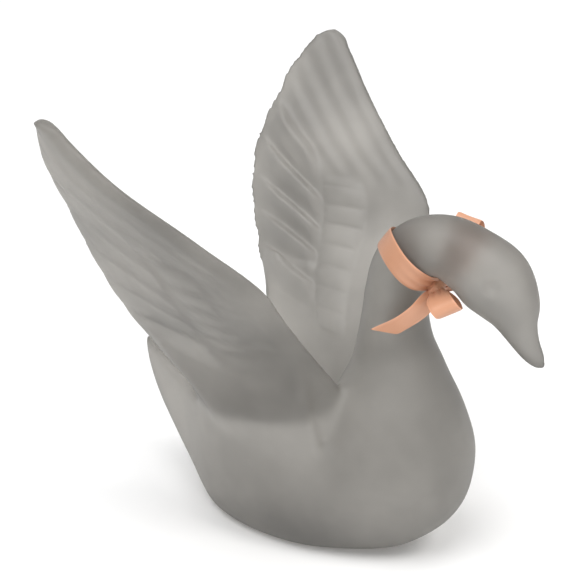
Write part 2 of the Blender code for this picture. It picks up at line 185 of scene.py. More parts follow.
# Spans over which the feathers rise and fall: in each row, over the rows and over the chord
LAP_RISE = (0.0, 0.88)
LAP_FALL = (0.9, 1.0)
ROWS_RISE = (FIRST_ROW - 0.1, FIRST_ROW + 0.2)
ROWS_FALL = (LAST_ROW - 0.3, LAST_ROW)
FEATHER_RISE = (SPINE_SHARE, SPINE_SHARE + 0.07)
FEATHER_FALL = (0.82, 0.98)

# Scales by the spine: heights over which they rise and fall, the lowest one's foot, their
# spacing, how full they are across, and their level and swelling share of the relief
SCALE_RISE = (48.5, 50.5)
SCALE_FALL = (85.0, 88.0)
SCALE_FOOT = 49.5
SCALE_SPACING = 5.1
SCALE_FULLNESS = 0.6
SCALE_LEVEL = 0.45
SCALE_SWELL = 0.55

# Quills: relief and spacing, and where they rise and fall by height and over the chord
QUILL_RELIEF = 0.35
QUILL_SPACING = 7.0
QUILL_HEIGHT_RISE = (84.0, 92.0)
QUILL_LEAD_RISE = (0.0, 0.12)
QUILL_TRAIL_FALL = (0.8, 0.98)

# Outer streaks: waves as turn for each millimetre along the chord and up, start and weight, and
# where they rise and fall by height and over the chord
STREAK_WAVES = (
    (0.55, 0.0, 0.9, 1.0),
    (0.93, 0.012, 2.2, 0.6),
)
STREAK_HEIGHT_RISE = (46.0, 62.0)
STREAK_LEAD_RISE = (0.03, 0.15)
STREAK_TRAIL_FALL = (0.85, 0.99)

# Where the carving holds: how far off the wing's faces and edges it fades, above which heights it
# grows, and how it blends from face to face. A drooped wing is looked up a little higher
FACE_REACH = (0.6, 2.2)
EDGE_REACH = (0.5, 3.0)
CARVED_ABOVE = (40.0, 47.0)
FACE_BLEND = (-0.4, 0.4)
DROOP_LOOKUP = 0.7

# Where the joints melt, by height and from the stern forward, in how many steps of strength, and
# how the smoothing works
MELT_RISE = (2.0, 8.0)
MELT_FALL = (48.0, 66.0)
MELT_FORWARD = (-54.0, -42.0)
MELT_LEVELS = 10
SMOOTH_FACTOR = 0.5
EASE_ROUNDS = 5

# Eyes: a shallow round hollow each side of the head, forward, left and up, and a faint rim round
# it, whose radius and breadth are in radii of the hollow
EYE = (50.5, 8.3, 83.0)
EYE_RADIUS = 1.7
EYE_DEPTH = 0.75
EYE_RIM_RELIEF = 0.16
EYE_RIM_RADIUS = 1.55
EYE_RIM_BREADTH = 0.4

# The band: its share of the way up the neck, its lean, how far it stands off, and how it is
# gathered and opens at the throat
COLLAR_SHARE = 0.538
COLLAR_LEAN = -0.0185
COLLAR_GAP = 0.25
THROAT_GAP = 1.4
COLLAR_PINCH = 0.3
COLLAR_PINCH_POWER = 14
COLLAR_OPENING = 0.1
COLLAR_REACH = 0.02

# Satin: how square its selvedges are, and the creases of the band and of a gathered stretch, as
# height in metres and wave over half the width
SELVEDGE_POWER = 6
CREASE_HEIGHT = 0.00035
CREASE_WAVE = 8.0
CREASE_POWER = 5
RIPPLE_HEIGHT = 0.0007
RIPPLE_WAVE = 9.0
SHARP_ANGLE = 60.0
WEAVE_LAYER = "weave"

# The knot: place, the way it lies, its sizes, how it tapers, and its ridges as height, turns
# round it and turns along it
KNOT = (32.2, -1.0, 77.0)
KNOT_LIE = (0.68, 0.0, 0.73)
KNOT_LENGTH = 4.2
KNOT_DEPTH = 4.0
KNOT_BREADTH = 1.25
KNOT_TAPER = 0.4
KNOT_END = 1.02
KNOT_RIDGES = (
    (0.05, 7.0, 1.5),
    (0.03, 13.0, -2.0),
)

# Each loop starts and ends in the knot. The near one is drawn in its own frame: how far down the
# loop, how far out from its middle, and the share of the width that is spread out there
NEAR_LOOP_DOWN = (0.702, 0.122, -0.700)
NEAR_LOOP_ACROSS = (0.80, 0.40, 0.44)
NEAR_LOOP = (
    (0.3, -0.4, 0.50),
    (0.6, -3.4, 0.75),
    (1.4, -7.2, 0.95),
    (3.0, -10.4, 1.0),
    (5.0, -11.0, 1.0),
    (6.3, -9.4, 1.0),
    (6.2, -6.8, 1.0),
    (4.8, -4.2, 1.0),
    (3.0, -1.8, 0.80),
    (1.4, 0.2, 0.50),
)
# The far loop and the tail: forward, left, up, the way the width points, and the share spread out
FAR_LOOP = (
    (32.8, 0.6, 78.2, -0.50, 0.0, 0.85, 0.38),
    (33.4, 6.6, 79.4, -0.80, 0.0, 0.55, 0.75),
    (34.2, 9.8, 83.6, -0.96, -0.1, 0.27, 1.0),
    (34.2, 10.2, 88.2, -0.95, -0.2, 0.27, 1.0),
    (34.2, 11.0, 91.2, -0.95, -0.2, 0.27, 1.0),
    (34.2, 12.9, 92.6, -0.95, -0.2, 0.27, 1.0),
    (34.2, 14.8, 91.0, -0.95, -0.2, 0.27, 1.0),
    (34.2, 15.2, 88.0, -0.95, -0.2, 0.27, 1.0),
    (34.0, 13.4, 82.0, -0.96, -0.1, 0.27, 1.0),
    (33.0, 7.6, 76.6, -0.80, 0.0, 0.55, 0.75),
    (32.0, 0.8, 76.4, -0.50, 0.0, 0.85, 0.38),
)
TAIL = (
    (31.6, -1.2, 76.4, -0.50, 0.1, 0.85, 0.42),
    (31.4, -4.4, 74.4, -0.30, -0.2, 0.90, 0.85),
    (29.8, -7.2, 71.9, -0.08, -0.5, 0.86, 1.0),
    (26.8, -9.8, 69.3, 0.0, -0.6, 0.84, 1.0),
    (23.2, -11.4, 67.0, 0.0, -0.6, 0.84, 1.0),
)
TAIL_SLANT = 0.7

# Glass: how it bends and passes light, its clouds as scale, span of the noise and shares of the
# tint, the frost's span and swing, and the grain of the ground skin
GLASS_IOR = 1.45
GLASS_TRANSMISSION = 0.78
CLOUD_SCALE = 38.0
CLOUD_SPAN = (0.35, 0.65)
CLOUD_TINTS = (0.82, 1.2)
FROST_SPAN = (0.3, 0.7)
FROST_SWING = 0.05
GRAIN_SCALE = 1900.0
GRAIN_STRENGTH = 0.08
GRAIN_DEPTH = 0.0002

# Satin's look: spacing and depth of its ribs in metres, and where the painted highlight along the
# selvedges lightens the colour, in shares of the width
RIB_SPACING = 0.00028
RIB_STRENGTH = 0.25
RIB_DEPTH = 0.00004
SELVEDGE_HIGHLIGHT_SPAN = (0.43, 0.46)
SELVEDGE_HIGHLIGHT = 1.12

# The photograph's viewpoint and what it looks at, in metres, and the lens and width of its frame
# in millimetres
CAMERA_PLACE = (-0.28025, -0.16288, 0.19424)
CAMERA_AIM = (0.00565, 0.01577, 0.06483)
CAMERA_LENS = 80.69
FRAME_WIDTH = 36.0
NEAREST_SEEN = 0.01

# The stage, in metres: the floor's reach, the lights, and what they look at
FLOOR_REACH = 6.0
LIGHTS_AIM = (0.0, 0.0, 0.06)
KEY_PLACE = (-0.10, -0.55, 0.75)
KEY_SIZE = 0.3
KEY_COLOUR = (1.0, 0.98, 0.95)
FILL_PLACE = (-0.6, -0.5, 0.35)
FILL_SIZE = 0.5
FILL_COLOUR = (1.0, 1.0, 1.0)
SUN_PLACE = (-0.40, 0.0, 1.0)
SUN_ANGLE = 40.0


class SwanGlassSettings(bpy.types.PropertyGroup):
    skin_step: bpy.props.FloatProperty(
        name="Skin step", description="Size of the skin's small faces",
        default=0.00076, min=0.0004, unit="LENGTH", precision=5)
    feather_relief: bpy.props.FloatProperty(
        name="Feather relief", description="Height of the feather steps on the inner faces",
        default=0.0028, min=0.0, unit="LENGTH", precision=5)
    scale_relief: bpy.props.FloatProperty(
        name="Scale relief", description="Height of the small rounded feathers by the spine",
        default=0.0016, min=0.0, unit="LENGTH", precision=5)
    streak_relief: bpy.props.FloatProperty(
        name="Streak relief", description="Depth of the long shallow streaks on the outer faces",
        default=0.00007, min=0.0, unit="LENGTH", precision=5)
    fillet_rounds: bpy.props.IntProperty(
        name="Fillet rounds", description="How far the joints between body, neck and wings melt",
        default=84, min=0)
    tint: bpy.props.FloatVectorProperty(
        name="Tint", description="Colour of the glass", subtype="COLOR",
        default=(0.385, 0.37, 0.345), min=0.0, max=1.0)
    frost: bpy.props.FloatProperty(
        name="Frost", description="Roughness of the ground surface",
        default=0.52, min=0.0, max=1.0)


class SwanRibbonSettings(bpy.types.PropertyGroup):
    width: bpy.props.FloatProperty(
        name="Width", description="Width of the ribbon",
        default=0.00635, min=0.001, unit="LENGTH", precision=5)
    thickness: bpy.props.FloatProperty(
        name="Thickness", description="Thickness of the satin",
        default=0.00035, min=0.0001, unit="LENGTH", precision=5)
    colour: bpy.props.FloatVectorProperty(
        name="Colour", description="Colour of the satin", subtype="COLOR",
        default=(0.60, 0.30, 0.18), min=0.0, max=1.0)


class SwanStageSettings(bpy.types.PropertyGroup):
    floor_colour: bpy.props.FloatVectorProperty(
        name="Floor", description="Colour of the floor", subtype="COLOR",
        default=(0.95, 0.95, 0.95), min=0.0, max=1.0)
    key_power: bpy.props.FloatProperty(
        name="Key light", description="Power of the soft light before the swan",
        default=2.2, min=0.0, unit="POWER")
    fill_power: bpy.props.FloatProperty(
        name="Fill light", description="Power of the light beside the camera",
        default=0.6, min=0.0, unit="POWER")
    sky: bpy.props.FloatProperty(
        name="Surroundings", description="Brightness of the pale surroundings",
        default=0.6, min=0.0)
    sun: bpy.props.FloatProperty(
        name="Sun", description="Strength of the wide soft light from above",
        default=1.7, min=0.0)


def place(forward, left, up):
    """Turn a drawn place in millimetres into metres in the part's frame."""
    forward, left, up = np.broadcast_arrays(forward, left, up)
    return np.stack([left, MIDDLE_FORWARD - forward, up], axis=-1) * IN_METRES


def direction(forward, left, up):
    """Turn a drawn direction into one in the part's frame."""
    forward, left, up = np.broadcast_arrays(forward, left, up)
    return np.stack([left, -forward, up], axis=-1)


def unit(vectors):
    return vectors / np.linalg.norm(vectors, axis=-1, keepdims=True)


def dot(first, second):
    return np.einsum("ij,ij->i", first, second)


def smooth_through(knots, values, at):
    """Cubic curve through the values, with each slope taken from the two neighbours."""
    knots = np.asarray(knots, float)
    values = np.asarray(values, float)
    at = np.clip(np.asarray(at, float), knots[0], knots[-1])
    slopes = np.gradient(values, knots, axis=0)
    cell = np.clip(np.searchsorted(knots, at, side="right") - 1, 0, len(knots) - 2)
    step = knots[cell + 1] - knots[cell]
    share = (at - knots[cell]) / step
    if values.ndim > 1:
        share = share[..., None]
        step = step[..., None]
    rise = share * share * (3.0 - 2.0 * share)
    start = share * (1.0 - share) ** 2 * step
    end = -share * share * (1.0 - share) * step
    return (values[cell] * (1.0 - rise) + values[cell + 1] * rise
            + slopes[cell] * start + slopes[cell + 1] * end)


def ramp(low, high, value):
    """Rise smoothly from 0 to 1 between two values."""
    share = np.clip((value - low) / (high - low), 0.0, 1.0)
    return share * share * (3.0 - 2.0 * share)


def window(rise, fall, value):
    """Rise smoothly from 0 to 1 over one span of the value, and fall back over another."""
    return ramp(*rise, value) * (1.0 - ramp(*fall, value))


def signed_power(value, power):
    return np.sign(value) * np.abs(value) ** power


def tube_shell(rings, first_pole=None, last_pole=None):
    """Points and faces of a closed skin: rings of equal count, joined by four-sided faces.

    Each end is closed by a fan of triangles to its pole, or to the middle of its ring.
    """
    count, sides = rings.shape[:2]
    index = np.arange(count * sides).reshape(count, sides)
    after = np.roll(index, -1, axis=1)
    quads = np.stack([index[:-1], after[:-1], after[1:], index[1:]], axis=-1).reshape(-1, 4)
    first = rings[0].mean(axis=0) if first_pole is None else np.asarray(first_pole)
    last = rings[-1].mean(axis=0) if last_pole is None else np.asarray(last_pole)
    points = np.concatenate([rings.reshape(-1, 3), first[None], last[None]])
    low = np.stack([after[0], index[0], np.full(sides, count * sides)], axis=-1)
    high = np.stack([index[-1], after[-1], np.full(sides, count * sides + 1)], axis=-1)
    faces = quads.tolist() + low.tolist() + high.tolist()
    return points, faces


def facing_out(points, faces):
    """The faces turned so that the volume between them and the origin is positive.

    The four-sided faces alone are summed: the fans at the ends are small.
    """
    corner = points[np.array([face for face in faces if len(face) == 4])]
    first, second, third, fourth = (corner[:, number] for number in range(4))
    volume = dot(first, np.cross(second, third)).sum() + dot(first, np.cross(third, fourth)).sum()
    if volume < 0.0:
        return [face[::-1] for face in faces]
    return faces


def object_of(name, shells):
    """One mesh object made of several closed skins."""
    points = np.concatenate([shell[0] for shell in shells])
    faces = []
    start = 0
    for shell_points, shell_faces in shells:
        middle = shell_points.mean(axis=0)
        turned = facing_out(shell_points - middle, shell_faces)
        faces.extend([[corner + start for corner in face] for face in turned])
        start += len(shell_points)
    mesh = bpy.data.meshes.new(name)
    mesh.from_pydata(points.tolist(), [], faces)
    mesh.update()
    made = bpy.data.objects.new(name, mesh)
    bpy.context.scene.collection.objects.link(made)
    return made


def body_shell(rings=170, sides=180):
    """Body sections: a squarish bilge, and above the widest line a round back or a dish.

    The back rises from the rim with the sine of the turn; where the middle of the back is lower
    than a round rim, the cube of the sine takes it down into a dish between the wings.
    """
    at = np.linspace(0.0, len(BODY) - 1.0, rings)
    rows = smooth_through(np.arange(len(BODY)), np.array(BODY), at)
    forward, under, top, widest, half_width, bilge = (rows[:, column, None] for column in range(6))
    angle = np.linspace(0.0, 2.0 * np.pi, sides, endpoint=False)[None, :]
    across = np.cos(angle)
    along = np.sin(angle)
    squareness = np.where(along < 0.0, bilge, 2.0)
    left = half_width * signed_power(across, 2.0 / squareness)
    low = widest + (widest - under) * signed_power(along, 2.0 / squareness)
    rise = np.maximum(top - widest, RIM_RISE)
    high = widest + rise * along + (top - widest - rise) * along ** 3
    skin = place(forward, left, np.maximum(np.where(along < 0.0, low, high), 0.0))
    tail = place(TAIL_END[0], 0.0, TAIL_END[1])
    chest = place(CHEST_FRONT[0], 0.0, CHEST_FRONT[1])
    return tube_shell(skin, tail, chest)


def neck_point(share, angle):
    """Point of the neck and head skin: share 0 to 1 from breast to beak, angle 0 at the crown.

    An ellipse of the station's half depth and half width, square to the neck's middle line.
    """
    table = np.array(NECK)
    steps = np.linalg.norm(np.diff(table[:, :2], axis=0), axis=1)
    knots = np.concatenate([[0.0], np.cumsum(steps)])
    at = np.asarray(share, float) * knots[-1]
    step = 0.05
    row = smooth_through(knots, table, at)
    ahead = smooth_through(knots, table, at + step)
    behind = smooth_through(knots, table, at - step)
    path = unit(ahead[..., :2] - behind[..., :2])
    depth = row[..., 2] * np.cos(angle)
    width = row[..., 3] * np.sin(angle)
    forward = row[..., 0] - path[..., 1] * depth
    up = row[..., 1] + path[..., 0] * depth
    return place(forward, width, up)


def neck_outside(share, angle, height):
    """Point at a height in millimetres above the skin of the neck, along its normal."""
    step = 0.002
    along = neck_point(share + step, angle) - neck_point(share - step, angle)
    around = neck_point(share, angle + step) - neck_point(share, angle - step)
    normal = unit(np.cross(along, around))
    return neck_point(share, angle) + normal * IN_METRES * np.asarray(height)[..., None]


def neck_shell(rings=260, sides=128):
    share = np.linspace(0.0, 1.0, rings)[:, None]
    angle = np.linspace(0.0, 2.0 * np.pi, sides, endpoint=False)[None, :]
    share, angle = np.broadcast_arrays(share, angle)
    return tube_shell(neck_point(share, angle), None, place(BEAK_TIP[0], 0.0, BEAK_TIP[1]))


def row_height(row, share):
    """Height of a feather row: level as far as the spine, then rising to the trailing edge."""
    rows = np.arange(len(ROW_AT_SPINE))
    at_spine = smooth_through(rows, ROW_AT_SPINE, row)
    at_trail = smooth_through(rows, ROW_AT_TRAIL, row)
    reach = np.clip((share - SPINE_SHARE) / (1.0 - SPINE_SHARE), 0.0, 1.0)
    return at_spine + (at_trail - at_spine) * reach


def row_at(height, share):
    """The feather row at a height, found by halving the span between the lowest and highest."""
    low = np.zeros_like(height)
    high = np.full_like(height, len(ROW_AT_SPINE) - 1.0)
    for _ in range(HALVINGS):
        middle = 0.5 * (low + high)
        below = row_height(middle, share) < height
        low = np.where(below, middle, low)
        high = np.where(below, high, middle)
    return 0.5 * (low + high)


def droop_at(height, side):
    """How far the right wing's tip hangs below the left one's."""
    return RIGHT_DROOP * ramp(DROOP_FROM, DROOP_TO, height) * (side < 0.0)


def wing_lines(height):
    """Leading edge, trailing edge, chord length and outward direction at each height."""
    lead = np.array(LEADING_EDGE)
    trail = np.array(TRAILING_EDGE)
    front = smooth_through(lead[:, 0], lead[:, 1:], height)
    back = smooth_through(trail[:, 0], trail[:, 1:], height)
    chord = back - front
    length = np.linalg.norm(chord, axis=-1)
    along = chord / np.maximum(length, SHORTEST_CHORD)[..., None]
    out = np.stack([along[..., 1], -along[..., 0]], axis=-1)
    return front, chord, length, along, out


def wing_offsets(height, share, length):
    """How far the outer and inner skins stand out from the chord, before the carving.

    A shallow bow, half the glass's thickness rounded at both edges, and a flare at the root.
    """
    thick = np.array(WING_HALF_THICKNESS)
    half = smooth_through(thick[:, 0], thick[:, 1], height)
    half = np.minimum(half, MOST_OF_CHORD * length)
    taper = 1.0 - TRAIL_THINNING * ramp(THINNING_FROM, 1.0, share)
    bow = WING_BOW * 4.0 * share * (1.0 - share) * np.minimum(1.0, length / FULL_BOW_CHORD)
    flare = ROOT_FLARE * ramp(*ROOT_FLARE_RISE, height) * (1.0 - ramp(*ROOT_FLARE_FALL, height))
    flare = flare * np.clip(np.sin(np.pi * share), 0.0, 1.0) ** ROOT_FLARE_FULLNESS
    inner = half * taper * np.sqrt(np.clip(share * (1.0 - share) / INNER_EDGE_SHARE, 0.0, 1.0))
    outer = half * taper * np.sqrt(np.clip(share * (1.0 - share) / OUTER_EDGE_SHARE, 0.0, 1.0))
    return bow + outer + flare, bow - inner


def wing_shell(side, rows=230, steps=96):
    """Wing skin: rows from root to tip, each a thin rounded section from edge to edge."""
    last = len(ROW_AT_SPINE) - 1.0
    row = last * (1.0 - np.linspace(1.0, 0.0, rows) ** TIP_CROWDING)[:-1]
    turn = np.linspace(0.0, np.pi, steps + 1)
    share = np.concatenate([0.5 - 0.5 * np.cos(turn), (0.5 + 0.5 * np.cos(turn))[1:-1]])
    outer_side = np.arange(len(share)) <= steps
    row, share = np.meshgrid(row, share, indexing="ij")
    height = row_height(row, share)
    front, chord, length, along, out = wing_lines(height)
    outer, inner = wing_offsets(height, share, length)
    offset = np.where(outer_side[None, :], outer, inner)
    lobe = TRAIL_LOBE * np.sin(np.pi * (row - np.floor(row))) * ramp(TRAIL_LOBE_FROM, 1.0, share)
    lobe = lobe * ramp(FIRST_ROW - 1.0, FIRST_ROW, row)
    spot = front + chord * share[..., None] + out * offset[..., None] + along * lobe[..., None]
    skin = place(spot[..., 0], spot[..., 1] * side, height - droop_at(height, side))
    tip_up = HEIGHT_AT_TIP - droop_at(HEIGHT_AT_TIP, side)
    tip = place(LEADING_EDGE[-1][1], LEADING_EDGE[-1][2] * side, tip_up)
    return tube_shell(skin, None, tip)


def flank_shell(side, stations=70, steps=26):
    """Glass that carries the hull's flank up into the wing, without a step between them.

    Across each station a curve leaves the hull's widest line upright and leans out, with a power
    of the height, to the wing's outer face; it comes back a few millimetres further in.
    """
    share = np.linspace(*FLANK_SPAN, stations)
    height = np.full(stations, FLANK_TOP)
    front, chord, length, _, out = wing_lines(height)
    outer = wing_offsets(height, share, length)[0]
    top = front + chord * share[:, None] + out * outer[:, None]
    root, root_chord = wing_lines(np.full(stations, FLANK_ROOT))[:2]
    low_ahead = (root + root_chord * share[:, None])[:, :1]
    low_ahead = low_ahead + FLANK_AFT * (share ** 2)[:, None] * (top[:, :1] - low_ahead)
    body = np.array(BODY)
    low_up = np.interp(low_ahead, body[:, 0], body[:, 3])
    low_left = np.interp(low_ahead, body[:, 0], body[:, 4])
    rise = np.linspace(0.0, 1.0, steps)[None, :]
    up = low_up + (FLANK_TOP - low_up) * rise
    left = low_left + (top[:, 1:] - low_left) * rise ** FLANK_LEAN
    depth = FLANK_DEPTH * np.sqrt(np.sin(np.pi * share))[:, None]
    ahead = low_ahead + (top[:, :1] - low_ahead) * rise
    skin = place(ahead, left * side, up)
    back = place(ahead, (left - depth) * side, up)[:, ::-1]
    return tube_shell(np.concatenate([skin, back], axis=1))


def inner_carving(height, share, length, settings):
    """Height of the carving on the inner face, in millimetres.

    Behind the spine each feather rises along its row and drops in a short step to the next one.
    By the spine small rounded feathers lie one above the other, and long quills run to the tip.
    """
    row = row_at(height, share)
    lap = window(LAP_RISE, LAP_FALL, row - np.floor(row))
    in_rows = window(ROWS_RISE, ROWS_FALL, row)
    behind_spine = window(FEATHER_RISE, FEATHER_FALL, share)
    feathers = settings.feather_relief * IN_MILLIMETRES * lap * behind_spine * in_rows
    turn = (height - SCALE_FOOT) / SCALE_SPACING
    bump = np.sqrt(np.clip(1.0 - (2.0 * (turn - np.floor(turn)) - 1.0) ** 2, 0.0, 1.0))
    middle = np.clip((share - INNER_SPINE_SHARE) / (SPINE_SHARE - INNER_SPINE_SHARE), 0.0, 1.0)
    band = np.sin(np.pi * middle) ** SCALE_FULLNESS
    scaled = window(SCALE_RISE, SCALE_FALL, height)
    swell = SCALE_LEVEL + SCALE_SWELL * bump
    scales = settings.scale_relief * IN_MILLIMETRES * band * scaled * swell
    ridge = 0.5 - 0.5 * np.cos(2.0 * np.pi * share * length / QUILL_SPACING)
    high = ramp(*QUILL_HEIGHT_RISE, height) * (1.0 - ramp(*QUILL_TRAIL_FALL, share))
    quills = QUILL_RELIEF * ridge * high * ramp(*QUILL_LEAD_RISE, share)
    return feathers + scales + quills


def outer_streaks(height, share, length, settings):
    """Long shallow streaks on the outer face: slow waves over the chord that drift with height."""
    run = share * length
    wave = sum(
        weight * np.sin(turn * run + drift * height + start)
        for turn, drift, start, weight in STREAK_WAVES
    )
    fade = ramp(*STREAK_HEIGHT_RISE, height) * ramp(*STREAK_LEAD_RISE, share)
    fade = fade * (1.0 - ramp(*STREAK_TRAIL_FALL, share))
    return settings.streak_relief * IN_MILLIMETRES * wave * fade


def carve(points, normals, settings):
    """Move every point of the skin along its normal by the carving at its place."""
    forward = MIDDLE_FORWARD - points[:, 1] * IN_MILLIMETRES
    left = np.abs(points[:, 0]) * IN_MILLIMETRES
    side = np.where(points[:, 0] < 0.0, -1.0, 1.0)
    up = points[:, 2] * IN_MILLIMETRES
    height = up + droop_at(up + DROOP_LOOKUP, side)
    front, _, length, along, out = wing_lines(height)
    from_front = np.stack([forward, left], axis=-1) - front
    run = dot(from_front, along)
    share = run / np.maximum(length, SHORTEST_CHORD)
    offset = dot(from_front, out)
    inside = np.clip(share, 0.0, 1.0)
    outer, inner = wing_offsets(height, inside, length)
    middle = 0.5 * (outer + inner)
    near = 1.0 - ramp(*FACE_REACH, np.abs(offset - middle) - 0.5 * (outer - inner))
    near = near * (1.0 - ramp(*EDGE_REACH, np.maximum(run - length, -run)))
    near = near * ramp(*CARVED_ABOVE, height)
    on_inner = 1.0 - ramp(*FACE_BLEND, offset - middle)
    raised = near * on_inner * inner_carving(height, inside, length, settings)
    raised = raised + near * (1.0 - on_inner) * outer_streaks(height, inside, length, settings)
    to_eye = np.stack([forward, left, up], axis=-1) - np.array(EYE)
    gone = np.linalg.norm(to_eye, axis=-1) / EYE_RADIUS
    rim = np.exp(-((gone - EYE_RIM_RADIUS) / EYE_RIM_BREADTH) ** 2)
    raised = raised - EYE_DEPTH * np.exp(-gone ** 2) + EYE_RIM_RELIEF * rim
    moved = points + normals * raised[:, None] * IN_METRES
    moved[:, 2] = np.maximum(moved[:, 2], 0.0)
    return moved


def read_vertices(mesh, attribute):
    values = np.empty(len(mesh.vertices) * 3, dtype=np.float32)
    mesh.vertices.foreach_get(attribute, values)
    return values.reshape(-1, 3).astype(float)


def replace_mesh_by_evaluated(made):
    """Apply all modifiers of an object to its own mesh."""
    bpy.context.view_layer.update()
    evaluated = made.evaluated_get(bpy.context.evaluated_depsgraph_get())
    fresh = bpy.data.meshes.new_from_object(evaluated)
    made.modifiers.clear()
    old = made.data
    made.data = fresh
    bpy.data.meshes.remove(old)


def soften_joints(made, rounds):
    """Round the skin evenly a little, and much more where body, neck and wings run together."""
    points = read_vertices(made.data, "co") * IN_MILLIMETRES
    forward = MIDDLE_FORWARD - points[:, 1]
    weight = window(MELT_RISE, MELT_FALL, points[:, 2]) * ramp(*MELT_FORWARD, forward)
    group = made.vertex_groups.new(name="joints")
    levels = np.round(weight * MELT_LEVELS).astype(int)
    for level in range(1, MELT_LEVELS + 1):
        chosen = np.nonzero(levels == level)[0]
        group.add(chosen.tolist(), level / MELT_LEVELS, "REPLACE")
    melt = made.modifiers.new("melt the joints", "SMOOTH")
    melt.factor = SMOOTH_FACTOR
    melt.iterations = rounds
    melt.vertex_group = group.name
    ease = made.modifiers.new("ease the skin", "SMOOTH")
    ease.factor = SMOOTH_FACTOR
    ease.iterations = EASE_ROUNDS
    replace_mesh_by_evaluated(made)


def fused_skin(settings):
    """One closed skin over body, neck and both wings, in small square faces."""
    shells = [body_shell(), neck_shell()]
    for side in (1.0, -1.0):
        shells.append(wing_shell(side))
        shells.append(flank_shell(side))
    made = object_of("swan_glass", shells)
    fuse = made.modifiers.new("fuse", "REMESH")
    fuse.mode = "VOXEL"
    fuse.voxel_size = settings.skin_step
    fuse.use_smooth_shade = True
    replace_mesh_by_evaluated(made)
    soften_joints(made, settings.fillet_rounds)
    mesh = made.data
    moved = carve(read_vertices(mesh, "co"), read_vertices(mesh, "normal"), settings)
    mesh.vertices.foreach_set("co", moved.astype(np.float32).ravel())
    mesh.update()
    mesh.shade_smooth()
    return made


def feed(node, values):
    """Set inputs of a node by their names."""
    for name, value in values.items():
        node.inputs[name].default_value = value


def join(tree, links):
    """Link nodes, each link given as the giving node, its output, the taking node, its input."""
    for giver, output, taker, entry in links:
        tree.links.new(giver.outputs[output], taker.inputs[entry])


def frosted_glass(settings):
    """Ground glass: light passes, scattered by the rough skin, with cloudy patches and grain."""
    material = bpy.data.materials.new("frosted glass")
    material.use_nodes = True
    tree = material.node_tree
    shader = tree.nodes["Principled BSDF"]
    feed(shader, {
        "Metallic": 0.0,
        "IOR": GLASS_IOR,
        "Transmission Weight": GLASS_TRANSMISSION,
        "Specular IOR Level": 0.5,
    })
    where = tree.nodes.new("ShaderNodeTexCoord")
    clouds = tree.nodes.new("ShaderNodeTexNoise")
    feed(clouds, {"Scale": CLOUD_SCALE, "Detail": 3.0, "Roughness": 0.5})
    tint = tree.nodes.new("ShaderNodeValToRGB")
    for element, position, share in zip(tint.color_ramp.elements, CLOUD_SPAN, CLOUD_TINTS):
        element.position = position
        element.color = tuple(share * part for part in settings.tint) + (1.0,)
    frost = tree.nodes.new("ShaderNodeMapRange")
    feed(frost, {
        "From Min": FROST_SPAN[0],
        "From Max": FROST_SPAN[1],
        "To Min": settings.frost - FROST_SWING,
        "To Max": settings.frost + FROST_SWING,
    })
    grain = tree.nodes.new("ShaderNodeTexNoise")
    feed(grain, {"Scale": GRAIN_SCALE, "Detail": 2.0})
    bump = tree.nodes.new("ShaderNodeBump")
    feed(bump, {"Strength": GRAIN_STRENGTH, "Distance": GRAIN_DEPTH})
    join(tree, (
        (where, "Object", clouds, "Vector"),
        (where, "Object", grain, "Vector"),
        (clouds, "Fac", tint, "Fac"),
        (tint, "Color", shader, "Base Color"),
        (clouds, "Fac", frost, "Value"),
        (frost, "Result", shader, "Roughness"),
        (grain, "Fac", bump, "Height"),
        (bump, "Normal", shader, "Normal"),
    ))
    return material


def near_loop_route():
    """The near loop's table turned into drawn points, width directions and spread."""
    table = np.array(NEAR_LOOP)
    down = unit(np.array(NEAR_LOOP_DOWN))
    across = unit(np.array(NEAR_LOOP_ACROSS))
    out = np.cross(across, down)
    middle = np.array(KNOT) + table[:, :1] * down + table[:, 1:2] * out
    return np.concatenate([middle, np.tile(across, (len(table), 1)), table[:, 2:]], axis=1)


def satin_sections(flat, normal, over, thickness):
    """Closed sections round flat satin: half its thickness each way, rounded at the selvedges."""
    half = np.sqrt(np.clip(1.0 - np.abs(over) ** SELVEDGE_POWER, 0.0, 1.0)) * 0.5
    thick = normal[:, None] * (half * thickness)[None, :, None]
    return np.concatenate([flat + thick, (flat - thick)[:, ::-1][:, 1:-1]], axis=1)


def strap_rings(route, settings, slant=0.0, steps=14, across_steps=14):
    """Thin satin along a route: at each step a flat closed section along the width.

    Where the width is gathered, the section waves; a slant cuts the last steps at an angle.
    """
    at = np.linspace(0.0, len(route) - 1.0, (len(route) - 1) * steps + 1)
    drawn = smooth_through(np.arange(len(route)), route, at)
    centre = place(drawn[:, 0], drawn[:, 1], drawn[:, 2])
    across = direction(drawn[:, 3], drawn[:, 4], drawn[:, 5])
    along = unit(np.gradient(centre, axis=0))
    across = unit(across - along * np.sum(across * along, axis=-1, keepdims=True))
    normal = np.cross(along, across)
    spread = drawn[:, 6]
    share = np.linspace(-1.0, 1.0, across_steps + 1)
    half_width = spread[:, None] * settings.width / 2.0
    ripple = (1.0 - spread[:, None]) * RIPPLE_HEIGHT * np.cos(share[None, :] * RIPPLE_WAVE)
    cut = np.zeros(len(at))
    cut[-steps:] = slant * np.linspace(0.0, 1.0, steps)
    flat = centre[:, None] + across[:, None] * (share[None, :] * half_width)[..., None]
    flat = flat + normal[:, None] * ripple[..., None]
    flat = flat + along[:, None] * (cut[:, None] * share[None, :] * half_width)[..., None]
    return satin_sections(flat, normal, share, settings.thickness)


def throat_share(angle):
    """1 at the throat, falling smoothly to 0 at the nape."""
    return 0.5 - 0.5 * np.cos(angle)


